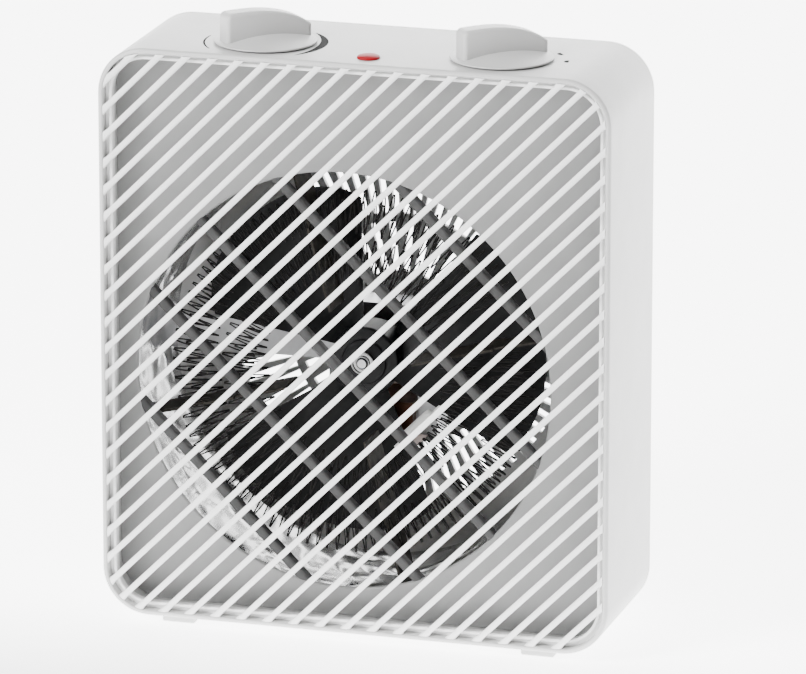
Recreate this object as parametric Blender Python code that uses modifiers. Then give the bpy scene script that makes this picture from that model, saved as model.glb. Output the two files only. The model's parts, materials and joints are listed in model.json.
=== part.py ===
"""Fan convector heater: a moulded front shell with a slatted grille, a tapered rear cover, two top knobs,
and inside them a heater drum with wire elements, a fan, its motor, the controls and a tip-over switch.

Metres, +Z up. The heater faces -Y and stands on Z = 0, centred on the origin in X and Y.
Depths are measured back from the front plane of the case.
"""
import math

import bmesh
import bpy
from mathutils import Matrix, Vector

# ---- overall -------------------------------------------------------------------------------------------
CASE_WIDTH = 0.230
CASE_HEIGHT = 0.2565
CASE_DEPTH = 0.072
OVERALL_DEPTH = 0.112
FOOT_HEIGHT = 0.004
CORNER_RADIUS = 0.021
FRONT_EDGE_RADIUS = 0.0012
WALL = 0.0022
GAP = 0.0003
MERGE = 0.00005
THROUGH = 0.01
CORNER_STEPS = 5

# ---- front grille --------------------------------------------------------------------------------------
SLAT_WIDTH = 0.0026
SLAT_DEPTH = 0.005
SLAT_PITCH = 0.00845
SLAT_SHIFT = -0.0020
LEDGE_INSET = 0.0016
LEDGE_WIDTH = 0.0014
LEDGE_START = 0.0032
GROOVE_FLOOR = 0.0048
LEDGE_DEPTH = 0.0038

# ---- baffle, drum and fan axis -------------------------------------------------------------------------
RECESS = 0.019
PLATE_THICKNESS = 0.0014
AXIS_X = -0.0102
AXIS_HEIGHT = 0.109
OPENING_RADIUS = 0.0938
BAR_WIDTH = 0.0045
BAR_DEPTH = 0.0045
BAR_COUNT = 5
BAR_EDGE_SPACE = 0.0144
BAR_SHIFT = 0.0017
DRUM_CLEARANCE = 0.0007
DRUM_WALL = 0.0008
DRUM_FLANGE = 0.0020
DRUM_STEPS = 48
PUNCH_RADIUS = 0.0021
PUNCH_COUNT = 3
PUNCH_DEPTH = 0.012
PUNCH_START = math.radians(-47)
PUNCH_STEP = math.radians(5.5)

# ---- heating elements ----------------------------------------------------------------------------------
ARM_COUNT = 4
ARM_TURN = math.radians(15)
ARM_INNER_RADIUS = 0.030
ARM_THICKNESS = 0.0010
ARM_SET_BACK = 0.0052
ARM_WIDTH = 0.0200
WIRE_RADIUS = 0.0005
WIRE_NOTCH = 0.0022
TRACK_PLACES = (0.31, 0.65)
TRACK_SPACE = 0.006
TRACK_PERIOD = 0.020
TRACK_CROSSING = 0.36
TRACK_OPEN_ANGLE = math.radians(14)
FUSE_RADIUS = 0.0027
FUSE_LENGTH = 0.018
FUSE_DISTANCE = 0.037
FUSE_BEARING = math.radians(-37)
FUSE_LEAD_RADIUS = 0.0006
FUSE_LEAD_LENGTH = 0.006
FUSE_EDGE = 0.001
CUTOUT_RADIUS = 0.0075
CUTOUT_HEIGHT = 0.0085
CUTOUT_DEPTH = 0.020

# ---- fan and motor -------------------------------------------------------------------------------------
HUB_RADIUS = 0.0156
HUB_LENGTH = 0.018
HUB_SET_BACK = 0.0296
FAN_TIP_CLEARANCE = 0.0125
BLADE_COUNT = 3
FAN_TURN = math.radians(131)
BLADE_ARC = math.radians(80)
BLADE_SWEEP = 0.0145
BLADE_THICKNESS = 0.0014
SHAFT_RADIUS = 0.0020
SHAFT_NOSE = 0.0026
CLIP_OUTER_RADIUS = 0.0055
CLIP_THICKNESS = 0.0018
STRAP_THICKNESS = 0.0015
STRAP_WIDTH = 0.015
BRACKET_THICKNESS = 0.0016
BRACKET_WIDTH = 0.014
STATOR_WIDTH = 0.050
STATOR_ABOVE = 0.019
STATOR_BELOW = 0.040
STATOR_DEPTH = 0.016
STATOR_SIDE = 0.009
YOKE_HEIGHT = 0.010
COIL_WALL = 0.0055
ROTOR_RADIUS = 0.0110
ROTOR_AIR_GAP = 0.0006
BEARING_RADIUS = 0.0045
BEARING_LENGTH = 0.007
HUB_STANDOFF = 0.0035
MOTOR_REAR_SPACE = 0.0030
MOTOR_SCREW_SPACING = 0.042
MOTOR_SCREW_RADIUS = 0.0014
MOTOR_SCREW_HEAD_RADIUS = 0.0028
MOTOR_SCREW_HEAD_HEIGHT = 0.0016

# ---- rear cover ----------------------------------------------------------------------------------------
COVER_STEP = 0.0030
COVER_TAPER = 0.0128
BACK_ALLOWANCE = 0.0020
BACK_EDGE = 0.0035
INTAKE_RINGS = ((0.0265, 0.0490, 36), (0.0530, 0.0780, 72))
INTAKE_SLOT_WIDTH = 0.0029
GRIP_WIDTH = 0.086
GRIP_HEIGHT = 0.022
GRIP_DEPTH = 0.016
GRIP_CENTRE_HEIGHT = 0.2200
POST_INSET = 0.029
POST_RADIUS = 0.0040
RIB_THICKNESS = 0.0020
SCREW_RADIUS = 0.0014
SCREW_HEAD_RADIUS = 0.0032
SCREW_HEAD_HEIGHT = 0.0017
SCREW_GRIP = 0.011
GLAND_X = 0.079
GLAND_HEIGHT = 0.050
GLAND_BORE = 0.0038
GLAND_BODY_RADIUS = 0.0062
GLAND_FLANGE_RADIUS = 0.0088
GLAND_FLANGE = 0.002
GLAND_NOSE = 0.006

# ---- top controls --------------------------------------------------------------------------------------
KNOB_SET_BACK = 0.0068
KNOB_MID_X = 0.0060
KNOB_SPACING = 0.1062
KNOB_RADIUS = 0.0225
KNOB_RIM = 0.0008
KNOB_DOME = 0.0040
KNOB_LIFT = 0.0006
KNOB_TURN = math.radians(41)
GRIP_FIN_WIDTH = 0.0098
GRIP_FIN_HEIGHT = 0.0146
GRIP_FIN_LENGTH = 0.0400
FIN_PEAK = 0.30
FIN_NOSE_REACH = 1.20
FIN_TAIL_REACH = 0.78
SOCKET_DEPTH = 0.0085
SPINDLE_RADIUS = 0.0030
SPINDLE_INSERT = 0.010
CONTROL_DEPTH = 0.0180
CONTROL_BODIES = (("thermostat", "thermostat_knob", 0.030, 0.027), ("switch", "mode_knob", 0.034, 0.023))
LAMP_X = 0.0040
LAMP_DEPTH = 0.0120
LAMP_RADIUS = 0.0034
LAMP_HEAD_RADIUS = 0.0050
LAMP_HEAD = 0.0016
LAMP_DROP = 0.0040
LAMP_COLLAR_WALL = 0.0008
LAMP_COLLAR_HEIGHT = 0.0022

# ---- base ----------------------------------------------------------------------------------------------
FOOT_X = 0.082
FOOT_WIDTH = 0.0150
FOOT_LENGTH = 0.014
FOOT_DEPTHS = (0.006, 0.052)
PLUNGER_X = 0.060
PLUNGER_DEPTH = 0.046
PLUNGER_RADIUS = 0.0030
PLUNGER_COLLAR = 0.0046
PLUNGER_TRAVEL = 0.0045
TIP_BODY_WIDTH = 0.016
TIP_BODY_LENGTH = 0.014
TIP_BODY_HEIGHT = 0.020
TIP_CHAMBER_HEIGHT = 0.0095
PLUNGER_COLLAR_HEIGHT = 0.0020
PLUNGER_TIP = 0.0008
SPRING_WIRE = 0.00035
SPRING_TURNS = 3
TERMINAL_SIZE = (0.014, 0.018, 0.024)
TERMINAL_BORE = 0.0022
TERMINAL_HEIGHT = 0.070
LEAD_RADIUS = 0.0011
LEAD_TURN = 0.25
LEAD_DROP = 0.030
LEAD_DRIFT = 0.005
LEAD_SAG = 0.012

# ---- worked out ----------------------------------------------------------------------------------------
FRONT_Y = -OVERALL_DEPTH / 2
HALF_WIDTH = CASE_WIDTH / 2
BASE_Z = FOOT_HEIGHT
TOP_Z = FOOT_HEIGHT + CASE_HEIGHT
MID_Z = FOOT_HEIGHT + CASE_HEIGHT / 2
AXIS_Z = FOOT_HEIGHT + AXIS_HEIGHT
PLATE_BACK = RECESS + PLATE_THICKNESS
KNOB_DEPTH = PLATE_BACK + KNOB_SET_BACK
DRUM_FRONT = PLATE_BACK + GAP
DRUM_INNER = OPENING_RADIUS + DRUM_CLEARANCE
DRUM_OUTER = DRUM_INNER + DRUM_WALL
HUB_FRONT = PLATE_BACK + HUB_SET_BACK
HUB_BACK = HUB_FRONT + HUB_LENGTH
FAN_RADIUS = DRUM_INNER - FAN_TIP_CLEARANCE
BACK_OUTER = OVERALL_DEPTH - BACK_ALLOWANCE
BACK_INNER = BACK_OUTER - WALL
SHAFT_BACK = BACK_INNER - MOTOR_REAR_SPACE
BRACKET_REAR = SHAFT_BACK - BEARING_LENGTH - BRACKET_THICKNESS
STATOR_BACK = BRACKET_REAR - GAP
STATOR_FRONT = STATOR_BACK - STATOR_DEPTH
BRACKET_FRONT = STATOR_FRONT - GAP - BRACKET_THICKNESS
STRAP_FRONT = BRACKET_FRONT - GAP - STRAP_THICKNESS
DRUM_BACK = STRAP_FRONT - GAP
DRUM_LENGTH = DRUM_BACK - DRUM_FRONT
BAR_PITCH = (OPENING_RADIUS - BAR_EDGE_SPACE) * 2 / (BAR_COUNT - 1)
SHAFT_BORE = SHAFT_RADIUS + GAP
KNOB_XS = (KNOB_MID_X - KNOB_SPACING / 2, KNOB_MID_X + KNOB_SPACING / 2)
KNOB_BASE_Z = TOP_Z + KNOB_LIFT
ARM_FRONT = PLATE_BACK + ARM_SET_BACK
TRACK_RADII = tuple(ARM_INNER_RADIUS + (DRUM_INNER - ARM_INNER_RADIUS) * place for place in TRACK_PLACES)
TRACK_HALF_WIDTH = (TRACK_RADII[1] - TRACK_RADII[0] - TRACK_SPACE) / 2
TRACK_DEPTHS = (ARM_FRONT + WIRE_NOTCH / 2, ARM_FRONT + ARM_WIDTH - WIRE_NOTCH / 2)
POST_XS = (-HALF_WIDTH + POST_INSET, HALF_WIDTH - POST_INSET)
POST_ZS = (BASE_Z + POST_INSET, TOP_Z - POST_INSET)

COLOURS = {
    "white_plastic": ((0.80, 0.80, 0.79), 0.42, 0.0),
    "grey_plate": ((0.62, 0.62, 0.62), 0.48, 0.0),
    "bright_metal": ((0.78, 0.78, 0.78), 0.22, 1.0),
    "steel": ((0.55, 0.55, 0.56), 0.35, 1.0),
    "black_plastic": ((0.025, 0.025, 0.027), 0.45, 0.0),
    "mica": ((0.46, 0.42, 0.36), 0.60, 0.0),
    "resistance_wire": ((0.20, 0.18, 0.17), 0.45, 1.0),
    "ceramic_sleeve": ((0.86, 0.86, 0.84), 0.55, 0.0),
    "copper_winding": ((0.62, 0.28, 0.13), 0.40, 1.0),
    "brass": ((0.70, 0.52, 0.24), 0.35, 1.0),
    "red_lens": ((0.55, 0.02, 0.03), 0.15, 0.0),
    "lead_sleeve": ((0.78, 0.77, 0.74), 0.50, 0.0),
}


def clear_scene():
    for obj in list(bpy.data.objects):
        bpy.data.objects.remove(obj, do_unlink=True)


clear_scene()
HEATER = bpy.data.collections.new("fan_convector_heater")
CUTTERS = bpy.data.collections.new("cutters")
bpy.context.scene.collection.children.link(HEATER)
bpy.context.scene.collection.children.link(CUTTERS)


def back(depth):
    """World Y of a depth measured from the case's front plane."""
    return FRONT_Y + depth


def material(name):
    """The named finish as a Principled material, made once."""
    found = bpy.data.materials.get(name)
    if found:
        return found
    colour, roughness, metallic = COLOURS[name]
    made = bpy.data.materials.new(name)
    made.use_nodes = True
    shader = made.node_tree.nodes["Principled BSDF"]
    shader.inputs["Base Color"].default_value = (*colour, 1.0)
    shader.inputs["Roughness"].default_value = roughness
    shader.inputs["Metallic"].default_value = metallic
    return made


def keep(name, data, finish):
    """A part of the heater."""
    obj = bpy.data.objects.new(name, data)
    obj.data.materials.append(material(finish))
    HEATER.objects.link(obj)
    return obj


def tool(name, data):
    """A shape used only for cutting or joining."""
    obj = bpy.data.objects.new(name, data)
    CUTTERS.objects.link(obj)
    obj.hide_render = True
    obj.display_type = "WIRE"
    return obj


def combine(target, other, operation):
    """Cut or join another object by a live Boolean."""
    step = target.modifiers.new(operation.lower(), "BOOLEAN")
    step.operation = operation
    step.solver = "EXACT"
    step.object = other
    return step


def smooth(mesh, degrees=40):
    mesh.shade_smooth()
    mesh.set_sharp_from_angle(angle=math.radians(degrees))


def mesh_from(bm, name):
    mesh = bpy.data.meshes.new(name)
    bmesh.ops.recalc_face_normals(bm, faces=bm.faces)
    bm.to_mesh(mesh)
    bm.free()
    return mesh


def box_mesh(name, low, high, turn=None):
    """A box between two corners, optionally turned about its own centre."""
    bm = bmesh.new()
    low, high = Vector(low), Vector(high)
    bmesh.ops.create_cube(bm, size=1.0)
    bmesh.ops.scale(bm, vec=high - low, verts=bm.verts)
    if turn is not None:
        bmesh.ops.transform(bm, matrix=turn, verts=bm.verts)
    bmesh.ops.translate(bm, vec=(low + high) / 2, verts=bm.verts)
    return mesh_from(bm, name)


def rod_mesh(name, radius, start, end, segments=16):
    """A round rod between two points."""
    bm = bmesh.new()
    start, end = Vector(start), Vector(end)
    along = end - start
    bmesh.ops.create_cone(
        bm,
        cap_ends=True,
        segments=segments,
        radius1=radius,
        radius2=radius,
        depth=along.length,
    )
    turn = Vector((0, 0, 1)).rotation_difference(along).to_matrix().to_4x4()
    bmesh.ops.transform(bm, matrix=Matrix.Translation((start + end) / 2) @ turn, verts=bm.verts)
    return mesh_from(bm, name)


def rounded_outline(half_width, low, high, radius, steps=CORNER_STEPS):
    """Points of a rounded rectangle in X and Z, anticlockwise seen from the front."""
    corners = (
        (half_width - radius, low + radius, -math.pi / 2),
        (half_width - radius, high - radius, 0.0),
        (-half_width + radius, high - radius, math.pi / 2),
        (-half_width + radius, low + radius, math.pi),
    )
    points = []
    for centre_x, centre_z, start in corners:
        for step in range(steps + 1):
            angle = start + step / steps * math.pi / 2
            points.append((centre_x + radius * math.cos(angle), centre_z + radius * math.sin(angle)))
    return points


def case_outline(inset, steps=CORNER_STEPS):
    """The case's outline moved inwards, its corners kept concentric."""
    radius = max(CORNER_RADIUS - inset, 0.002)
    return rounded_outline(HALF_WIDTH - inset, BASE_Z + inset, TOP_Z - inset, radius, steps)


def circle_outline(centre_x, centre_z, radius, steps):
    turns = [2 * math.pi * step / steps for step in range(steps)]
    return [(centre_x + radius * math.cos(turn), centre_z + radius * math.sin(turn)) for turn in turns]


def plate_mesh(name, outlines, front, rear):
    """A flat plate between two depths, from closed outlines in X and Z, the later ones being holes."""
    curve = bpy.data.curves.new(name, "CURVE")
    curve.dimensions = "2D"
    curve.fill_mode = "BOTH"
    curve.extrude = (rear - front) / 2
    for outline in outlines:
        spline = curve.splines.new("POLY")
        spline.points.add(len(outline) - 1)
        for point, (x, z) in zip(spline.points, outline):
            point.co = (x, z, 0.0, 1.0)
        spline.use_cyclic_u = True
    obj = bpy.data.objects.new(name + "_outline", curve)
    CUTTERS.objects.link(obj)
    obj.rotation_euler = (math.pi / 2, 0, 0)
    obj.location = (0, back((front + rear) / 2), 0)
    return solid_from_curve(obj, name)


def solid_from_curve(obj, name):
    """The curve as a welded mesh in world place; the curve itself is removed."""
    bpy.context.view_layer.update()
    evaluated = obj.evaluated_get(bpy.context.evaluated_depsgraph_get())
    mesh = bpy.data.meshes.new_from_object(evaluated)
    place = obj.matrix_world.copy()
    bpy.data.objects.remove(obj, do_unlink=True)
    bm = bmesh.new()
    bm.from_mesh(mesh)
    bpy.data.meshes.remove(mesh)
    bmesh.ops.remove_doubles(bm, verts=bm.verts, dist=0.00001)
    bmesh.ops.transform(bm, matrix=place, verts=bm.verts)
    return mesh_from(bm, name)


def tube_mesh(name, points, radius, sides=2):
    """A tube with filled ends along straight runs between points."""
    curve = bpy.data.curves.new(name, "CURVE")
    curve.dimensions = "3D"
    curve.bevel_depth = radius
    curve.bevel_resolution = sides
    curve.use_fill_caps = True
    spline = curve.splines.new("POLY")
    spline.points.add(len(points) - 1)
    for point, place in zip(spline.points, points):
        point.co = (*place, 1.0)
    obj = bpy.data.objects.new(name + "_path", curve)
    CUTTERS.objects.link(obj)
    return solid_from_curve(obj, name)


def turned(name, profile, finish, steps, place, upright=False):
    """A turned part. The profile lists (radius, height) down its outer side and back up its bore.

    Heights rise towards the front for a part on the fan axis, and upwards for an upright one.
    """
    bm = bmesh.new()
    verts = [bm.verts.new((radius, 0.0, height)) for radius, height in profile]
    for first, second in zip(verts, verts[1:]):
        bm.edges.new((first, second))
    if profile[0][0] > 0:
        bm.edges.new((verts[-1], verts[0]))
    mesh = bpy.data.meshes.new(name)
    bm.to_mesh(mesh)
    bm.free()
    obj = keep(name, mesh, finish)
    screw = obj.modifiers.new("turn", "SCREW")
    screw.axis = "Z"
    screw.steps = steps
    screw.render_steps = steps
    screw.use_merge_vertices = True
    screw.merge_threshold = MERGE
    screw.use_smooth_shade = True
    obj.location = place
    if not upright:
        obj.rotation_euler = (math.pi / 2, 0, 0)
    return obj


def ring_profile(outer, bore, front, rear):
    """Section of a plain ring between two depths, as heights above the front plane."""
    return [(outer, -front), (outer, -rear), (bore, -rear), (bore, -front)]


def on_axis(depth=0.0):
    return (AXIS_X, back(depth), AXIS_Z)


def polar(radius, angle, depth):
    return (AXIS_X + radius * math.cos(angle), back(depth), AXIS_Z + radius * math.sin(angle))


# ---- casing --------------------------------------------------------------------------------------------
def loft(name, rings, closed_front=False, closed_back=False):
    """Quads between outlines at successive depths; each ring is (depth, outline)."""
    bm = bmesh.new()
    loops = [[bm.verts.new((x, back(depth), z)) for x, z in outline] for depth, outline in rings]
    for near, far in zip(loops, loops[1:]):
        count = len(near)
        for i in range(count):
            j = (i + 1) % count
            bm.faces.new((near[i], near[j], far[j], far[i]))
    if closed_front:
        bm.faces.new(loops[0][::-1])
    if closed_back:
        bm.faces.new(loops[-1])
    return mesh_from(bm, name)


def closed_ring(name, rings):
    """A loft whose last outline is its first, welded there."""
    bm = bmesh.new()
    bm.from_mesh(loft(name, rings))
    bmesh.ops.remove_doubles(bm, verts=bm.verts, dist=0.00001)
    return mesh_from(bm, name)


def front_case():
    """Tubular front shell: rounded front lip, control holes in the top, posts for the rear screws."""
    edge = FRONT_EDGE_RADIUS
    tube = [
        (edge, case_outline(0.0)),
        (CASE_DEPTH, case_outline(0.0)),
        (CASE_DEPTH, case_outline(WALL)),
        (0.0, case_outline(WALL)),
        (0.0, case_outline(edge)),
        (edge * 0.3, case_outline(edge * 0.3)),
        (edge, case_outline(0.0)),
    ]
    case = keep("front_case", closed_ring("front_case", tube), "white_plastic")
    for x in POST_XS:
        for z in POST_ZS:
            side, level = math.copysign(1, x), math.copysign(1, z - MID_Z)
            rear = BACK_INNER - GAP
            post = rod_mesh("post", POST_RADIUS, (x, back(PLATE_BACK + GAP), z), (x, back(rear), z), 14)
            combine(case, tool("post", post), "UNION")
            reach = POST_INSET - WALL / 2
            span = Vector((0.0, RIB_THICKNESS / 2, RIB_THICKNESS / 2))
            for direction in (Vector((side, 0, 0)), Vector((0, 0, level))):
                start = Vector((x, back(PLATE_BACK + GAP), z))
                end = start + direction * reach + Vector((0, CASE_DEPTH - PLATE_BACK - GAP - WALL, 0))
                spread = Vector((abs(direction.z), 0, abs(direction.x))) * span.y
                low = Vector(map(min, start, end)) - spread
                high = Vector(map(max, start, end)) + spread
                combine(case, tool("rib", box_mesh("rib", low, high)), "UNION")
            hole_start = (x, back(rear - SCREW_GRIP - GAP), z)
            hole_end = (x, back(rear + THROUGH), z)
            hole = rod_mesh("post_hole", SCREW_RADIUS + GAP, hole_start, hole_end, 10)
            combine(case, tool("post_hole", hole), "DIFFERENCE")
    holes = []
    wall_holes = [("spindle_hole", SPINDLE_RADIUS + GAP * 2, x, KNOB_DEPTH, TOP_Z) for x in KNOB_XS]
    wall_holes.append(("lamp_hole", LAMP_RADIUS + GAP, LAMP_X, LAMP_DEPTH, TOP_Z))
    wall_holes.append(("plunger_hole", PLUNGER_RADIUS + GAP * 2, PLUNGER_X, PLUNGER_DEPTH, BASE_Z))
    for name, radius, x, depth, level in wall_holes:
        start, end = (x, back(depth), level - THROUGH), (x, back(depth), level + THROUGH)
        holes.append(rod_mesh(name, radius, start, end))
    for hole in holes:
        combine(case, tool(hole.name, hole), "DIFFERENCE")
    return case


def front_grille():
    """One moulding: a ledge ring just inside the case and slats across it at 45 degrees."""
    outline = case_outline(WALL + GAP)
    ledge_outer = case_outline(WALL + GAP + LEDGE_INSET)
    ledge_inner = case_outline(WALL + GAP + LEDGE_INSET + LEDGE_WIDTH)
    ledge_back = LEDGE_START + LEDGE_DEPTH
    section = [
        (GROOVE_FLOOR, outline),
        (ledge_back, outline),
        (ledge_back, ledge_inner),
        (LEDGE_START, ledge_inner),
        (LEDGE_START, ledge_outer),
        (GROOVE_FLOOR, ledge_outer),
        (GROOVE_FLOOR, outline),
    ]
    grille = keep("front_grille", closed_ring("front_grille", section), "white_plastic")
    bm = bmesh.new()
    diagonal = (CASE_WIDTH + CASE_HEIGHT) / math.sqrt(2)
    count = int(diagonal / SLAT_PITCH / 2)
    ledge_inset = WALL + GAP + LEDGE_INSET
    corner = (HALF_WIDTH + CASE_HEIGHT / 2 - 2 * CORNER_RADIUS) / math.sqrt(2) + CORNER_RADIUS - ledge_inset
    tilt = Matrix.Rotation(-math.pi / 4, 4, "Y")
    offsets = [index * SLAT_PITCH + SLAT_SHIFT for index in range(-count, count + 1)]
    for offset in offsets:
        if abs(offset) > corner:
            continue
        made = bmesh.ops.create_cube(bm, size=1.0)
        bmesh.ops.scale(bm, vec=(diagonal * 1.2, SLAT_DEPTH, SLAT_WIDTH), verts=made["verts"])
        bmesh.ops.translate(bm, vec=(0, 0, offset), verts=made["verts"])
        bmesh.ops.transform(bm, matrix=tilt, verts=made["verts"])
        bmesh.ops.translate(bm, vec=(0, back(SLAT_DEPTH / 2), MID_Z), verts=made["verts"])
    slats = tool("slats", mesh_from(bm, "slats"))
    limit = tool("slat_limit", loft("slat_limit", [(-0.01, outline), (0.02, outline)], True, True))
    combine(slats, limit, "INTERSECT")
    combine(grille, slats, "UNION")
    return grille


def baffle_plate():
    """Plate behind the grille with a round outlet, crossed by guard bars at right angles to the slats."""
    outline = case_outline(WALL + GAP)
    opening = circle_outline(AXIS_X, AXIS_Z, OPENING_RADIUS, DRUM_STEPS)
    mesh = plate_mesh("baffle_plate", [outline, opening], RECESS, PLATE_BACK)
    plate = keep("baffle_plate", mesh, "grey_plate")
    limit_outline = circle_outline(AXIS_X, AXIS_Z, OPENING_RADIUS + DRUM_CLEARANCE / 2, DRUM_STEPS)
    bm = bmesh.new()
    tilt = Matrix.Rotation(math.pi / 4, 4, "Y")
    for index in range(BAR_COUNT):
        offset = (index - (BAR_COUNT - 1) / 2) * BAR_PITCH + BAR_SHIFT
        made = bmesh.ops.create_cube(bm, size=1.0)
        bmesh.ops.scale(bm, vec=(OPENING_RADIUS * 2.4, BAR_DEPTH, BAR_WIDTH), verts=made["verts"])
        bmesh.ops.translate(bm, vec=(0, 0, offset), verts=made["verts"])
        bmesh.ops.transform(bm, matrix=tilt, verts=made["verts"])
        bmesh.ops.translate(bm, vec=on_axis(RECESS + BAR_DEPTH / 2), verts=made["verts"])
    bars = tool("guard_bars", mesh_from(bm, "guard_bars"))
    limit = tool("bar_limit", loft("bar_limit", [(0.0, limit_outline), (0.05, limit_outline)], True, True))
    combine(bars, limit, "INTERSECT")
    combine(plate, bars, "UNION")
    return plate


def cover_outline(inset):
    radius = max(CORNER_RADIUS - inset * 0.6, 0.004)
    return rounded_outline(HALF_WIDTH - inset, BASE_Z + inset, TOP_Z - inset, radius)


def rear_cover():
    """Tapered shell with a round slotted intake, a finger recess and holes for the screws and the gland."""
    front = CASE_DEPTH + GAP
    rings = [
        (front, cover_outline(COVER_STEP)),
        (BACK_OUTER - BACK_EDGE, cover_outline(COVER_STEP + COVER_TAPER)),
        (BACK_OUTER - BACK_EDGE * 0.3, cover_outline(COVER_STEP + COVER_TAPER + BACK_EDGE * 0.5)),
        (BACK_OUTER, cover_outline(COVER_STEP + COVER_TAPER + BACK_EDGE * 1.2)),
    ]
    cover = keep("rear_cover", loft("rear_cover", rings, closed_back=True), "white_plastic")
    skin = cover.modifiers.new("wall", "SOLIDIFY")
    skin.thickness = WALL
    skin.offset = -1.0
    skin.use_even_offset = True
    half = Vector((GRIP_WIDTH / 2, 0, GRIP_HEIGHT / 2))
    centre = Vector((0, 0, GRIP_CENTRE_HEIGHT + BASE_Z))
    shell = Vector((WALL, 0, WALL))
    low = centre - half + Vector((0, back(BACK_OUTER - GRIP_DEPTH), 0))
    high = centre + half + Vector((0, back(BACK_OUTER), 0))
    behind, short = Vector((0, WALL, 0)), Vector((0, WALL / 2, 0))
    pocket = box_mesh("grip_pocket", low - shell - behind, high + shell - short)
    combine(cover, tool("grip_pocket", pocket), "UNION")
    recess = box_mesh("grip_recess", low, high + Vector((0, 0.01, 0)))
    combine(cover, tool("grip_recess", recess), "DIFFERENCE")
    bm = bmesh.new()
    for inner, outer, count in INTAKE_RINGS:
        for index in range(count):
            made = bmesh.ops.create_cube(bm, size=1.0)
            bmesh.ops.scale(bm, vec=(outer - inner, 0.02, INTAKE_SLOT_WIDTH), verts=made["verts"])
            bmesh.ops.translate(bm, vec=((outer + inner) / 2, 0, 0), verts=made["verts"])
            turn = Matrix.Rotation(2 * math.pi * (index + 0.5) / count, 4, "Y")
            bmesh.ops.transform(bm, matrix=turn, verts=made["verts"])
            bmesh.ops.translate(bm, vec=on_axis(BACK_OUTER), verts=made["verts"])
    rods = [(SCREW_RADIUS + GAP, 10, x, z) for x in POST_XS for z in POST_ZS]
    rods.append((GLAND_BODY_RADIUS + GAP, 18, GLAND_X, BASE_Z + GLAND_HEIGHT))
    for radius, segments, x, z in rods:
        start, end = (x, back(BACK_OUTER - 0.01), z), (x, back(BACK_OUTER + 0.01), z)
        bm.from_mesh(rod_mesh("rear_hole", radius, start, end, segments))
    combine(cover, tool("rear_holes", mesh_from(bm, "rear_holes")), "DIFFERENCE")
    return cover


def screw(name, x, z, seat, shank, radius, head_radius, head_height, finish="steel"):
    """A screw driven forwards: its head stands on the seat and its shank runs towards the front."""
    shoulder, crown = -GAP - head_height * 0.6, -GAP - head_height
    profile = [
        (0.0, shank),
        (radius, shank),
        (radius, -GAP),
        (head_radius, -GAP),
        (head_radius, shoulder),
        (head_radius * 0.7, crown),
        (0.0, crown),
    ]
    return turned(name, profile, finish, 10, (x, back(seat), z))


def case_screws():
    number = 0
    for x in POST_XS:
        for z in POST_ZS:
            number += 1
            grip = WALL + GAP + SCREW_GRIP
            head = (SCREW_RADIUS, SCREW_HEAD_RADIUS, SCREW_HEAD_HEIGHT)
            screw(f"case_screw_{number}", x, z, BACK_OUTER, grip, *head)


def cord_gland():
    """Bushing in the rear wall with a clear bore for the supply cord."""
    seat = GAP
    inside = WALL + GAP
    profile = [
        (GLAND_FLANGE_RADIUS, -seat - SCREW_HEAD_HEIGHT * 0.5),
        (GLAND_FLANGE_RADIUS, -seat),
        (GLAND_BODY_RADIUS, -seat),
        (GLAND_BODY_RADIUS, inside),
        (GLAND_FLANGE_RADIUS, inside),
        (GLAND_FLANGE_RADIUS, inside + GLAND_FLANGE),
        (GLAND_BODY_RADIUS * 0.9, inside + GLAND_NOSE),
        (GLAND_BORE, inside + GLAND_NOSE),
        (GLAND_BORE, -seat - SCREW_HEAD_HEIGHT),
        (GLAND_BODY_RADIUS * 0.95, -seat - SCREW_HEAD_HEIGHT),
    ]
    place = (GLAND_X, back(BACK_OUTER), BASE_Z + GLAND_HEIGHT)
    return turned("cord_gland", profile[::-1], "black_plastic", 18, place)


# ---- heater drum ---------------------------------------------------------------------------------------
def reflector_drum():
    """Sheet drum with a flange at its back and three small punched holes low on its right side."""
    front, rear = 0.0, DRUM_LENGTH
    profile = [
        (DRUM_OUTER, -front),
        (DRUM_OUTER, -rear + DRUM_WALL),
        (DRUM_OUTER + DRUM_FLANGE, -rear + DRUM_WALL),
        (DRUM_OUTER + DRUM_FLANGE, -rear),
        (DRUM_INNER, -rear),
        (DRUM_INNER, -front),
    ]
    drum = turned("reflector_drum", profile, "bright_metal", DRUM_STEPS, on_axis(DRUM_FRONT))
    for index in range(PUNCH_COUNT):
        angle = PUNCH_START + PUNCH_STEP * index
        depth = DRUM_FRONT + PUNCH_DEPTH
        start = polar(DRUM_INNER - THROUGH / 2, angle, depth)
        end = polar(DRUM_OUTER + THROUGH / 2, angle, depth)
        combine(drum, tool("punch", rod_mesh("punch", PUNCH_RADIUS, start, end, 12)), "DIFFERENCE")
    return drum


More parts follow.
